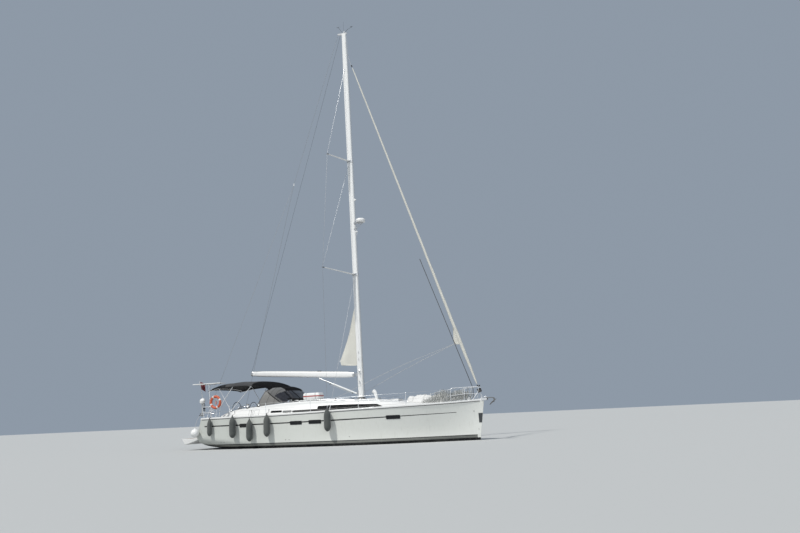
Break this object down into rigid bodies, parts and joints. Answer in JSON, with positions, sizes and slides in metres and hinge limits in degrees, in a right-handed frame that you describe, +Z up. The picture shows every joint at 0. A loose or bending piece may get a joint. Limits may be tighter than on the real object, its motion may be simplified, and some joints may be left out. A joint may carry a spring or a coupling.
{
  "type": "sailing yacht",
  "caption": "Cruising sailing yacht afloat, sails furled, with keel, rudder, twin wheels, sprayhood, bimini, fenders and a lowered swim platform.",
  "frame": {"origin": "centreline amidships, at the waterline", "axes": "+X to the bow, +Y to port, +Z up"},
  "size_m": [16.72, 5.0144, 24.4325],
  "materials": {
    "hull_gelcoat": "gloss grey-white gelcoat",
    "deck_gelcoat": "white gelcoat with non-slip panels",
    "keel_paint": "dark antifouling",
    "drive_paint": "grey paint",
    "bronze": "polished",
    "stainless": "polished stainless steel",
    "rigging_wire": "stranded stainless wire",
    "spar_paint": "white painted aluminium",
    "spar_alloy": "anodised",
    "black_fitting": "moulded",
    "sailcloth": "woven polyester, weathered",
    "canvas": "acrylic canvas, mid grey",
    "dark_acrylic": "smoked acrylic",
    "teak": "oiled teak",
    "galvanised": "galvanised steel",
    "fender_cover": "knitted grey cover",
    "white_vinyl": "inflated vinyl",
    "orange_shell": "orange with white bands",
    "white_shell": "moulded white",
    "solar_glass": "dark cells under glass",
    "wheel_grip": "dark stitched cover",
    "bundle_cover": "white fabric",
    "ensign_cloth": "dark red bunting"
  },
  "bodies": {
    "yacht": {"hull": "hull_gelcoat", "deck": "deck_gelcoat", "keel": "keel_paint", "saildrive_leg": "drive_paint", "washboard": "dark_acrylic", "window_starboard": "dark_acrylic", "window_port": "dark_acrylic", "mast": "spar_paint", "spreaders_lower": "spar_alloy", "spreaders_upper": "spar_alloy", "shrouds_starboard": "rigging_wire", "shrouds_port": "rigging_wire", "furled_genoa": "sailcloth", "furler_drum": "black_fitting", "backstay": "rigging_wire", "mainsail_clew": "sailcloth", "radar": "white_shell", "bow_roller": "stainless", "anchor": "galvanised", "windlass": "stainless", "pedestal_starboard": "deck_gelcoat", "pedestal_port": "deck_gelcoat", "cockpit_table": "teak", "sprayhood": "canvas", "bimini_canopy": "canvas", "bimini_frame": "stainless", "solar_panel": "solar_glass", "outboard_motor": "white_shell", "lifebuoy": "orange_shell", "ensign_staff": "teak", "ensign": "ensign_cloth", "liferaft": "white_shell", "foredeck_bundle": "bundle_cover", "ball_fender": "white_vinyl", "pulpit_starboard": "stainless", "pushpit_starboard": "stainless", "lifelines_starboard": "rigging_wire", "pulpit_port": "stainless", "pushpit_port": "stainless", "lifelines_port": "rigging_wire", "fender_1": "fender_cover", "fender_2": "fender_cover", "fender_3": "fender_cover", "fender_4": "fender_cover", "fender_5": "fender_cover"},
    "rudder": {"rudder": "keel_paint"},
    "wheel_starboard": {"wheel_starboard": "wheel_grip"},
    "wheel_port": {"wheel_port": "wheel_grip"},
    "propeller": {"propeller": "bronze"},
    "boom": {"boom": "spar_paint", "kicker": "spar_paint"},
    "swim_platform": {"swim_platform": "deck_gelcoat"},
    "companionway_hatch": {"companionway_hatch": "dark_acrylic"},
    "saloon_hatch": {"saloon_hatch": "dark_acrylic"},
    "foredeck_hatch": {"foredeck_hatch": "dark_acrylic"},
    "anchor_locker_lid": {"anchor_locker_lid": "deck_gelcoat"},
    "seat_locker_lid_starboard": {"seat_locker_lid_starboard": "teak"},
    "seat_locker_lid_port": {"seat_locker_lid_port": "teak"},
    "table_leaf_starboard": {"table_leaf_starboard": "teak"},
    "table_leaf_port": {"table_leaf_port": "teak"}
  },
  "joints": [
    {"name": "rudder_turn", "type": "hinge", "parent": "yacht", "child": "rudder", "pos_m": [-5.75, 0, 0], "axis": [0, 0, 1], "range_deg": [-35, 35]},
    {"name": "wheel_turn_starboard", "type": "hinge", "parent": "yacht", "child": "wheel_starboard", "pos_m": [-5.76, -0.8, 1.95], "axis": [1, 0, 0], "range_deg": [-280, 280]},
    {"name": "wheel_turn_port", "type": "hinge", "parent": "yacht", "child": "wheel_port", "pos_m": [-5.76, 0.8, 1.95], "axis": [1, 0, 0], "range_deg": [-280, 280]},
    {"name": "propeller_spin", "type": "hinge", "parent": "yacht", "child": "propeller", "pos_m": [-1.9, 0, -0.96], "axis": [1, 0, 0], "continuous": true},
    {"name": "boom_swing", "type": "hinge", "parent": "yacht", "child": "boom", "pos_m": [0.877, 0, 3.45], "axis": [-0.0155, 0, 0.9999], "range_deg": [-65, 65]},
    {"name": "platform_lift", "type": "hinge", "parent": "yacht", "child": "swim_platform", "pos_m": [-7.44, 0, 0.575], "axis": [0, 1, 0], "range_deg": [0, 122]},
    {"name": "companionway_slide", "type": "slide", "parent": "yacht", "child": "companionway_hatch", "axis": [1, 0, 0], "range_m": [0, 0.62]},
    {"name": "saloon_hatch_lift", "type": "hinge", "parent": "yacht", "child": "saloon_hatch", "pos_m": [2.08, 0, 2.187], "axis": [0, 1, 0], "range_deg": [0, 90]},
    {"name": "foredeck_hatch_lift", "type": "hinge", "parent": "yacht", "child": "foredeck_hatch", "pos_m": [3.26, 0, 2.086], "axis": [0, 1, 0], "range_deg": [0, 90]},
    {"name": "anchor_locker_lift", "type": "hinge", "parent": "yacht", "child": "anchor_locker_lid", "pos_m": [6.535, 0, 1.826], "axis": [0, 1, 0], "range_deg": [0, 85]},
    {"name": "seat_locker_lift_starboard", "type": "hinge", "parent": "yacht", "child": "seat_locker_lid_starboard", "pos_m": [-3.9, -1.232, 1.506], "axis": [1, 0, 0], "range_deg": [0, 85]},
    {"name": "seat_locker_lift_port", "type": "hinge", "parent": "yacht", "child": "seat_locker_lid_port", "pos_m": [-3.9, 1.232, 1.506], "axis": [-1, 0, 0], "range_deg": [0, 85]},
    {"name": "table_leaf_lift_starboard", "type": "hinge", "parent": "yacht", "child": "table_leaf_starboard", "pos_m": [-3.95, -0.156, 1.79], "axis": [-1, 0, 0], "range_deg": [0, 90]},
    {"name": "table_leaf_lift_port", "type": "hinge", "parent": "yacht", "child": "table_leaf_port", "pos_m": [-3.95, 0.156, 1.79], "axis": [1, 0, 0], "range_deg": [0, 90]}
  ],
  "couplings": [
    {"joint": "wheel_turn_starboard", "follows": "rudder_turn", "ratio": 8},
    {"joint": "wheel_turn_port", "follows": "rudder_turn", "ratio": 8}
  ]
}
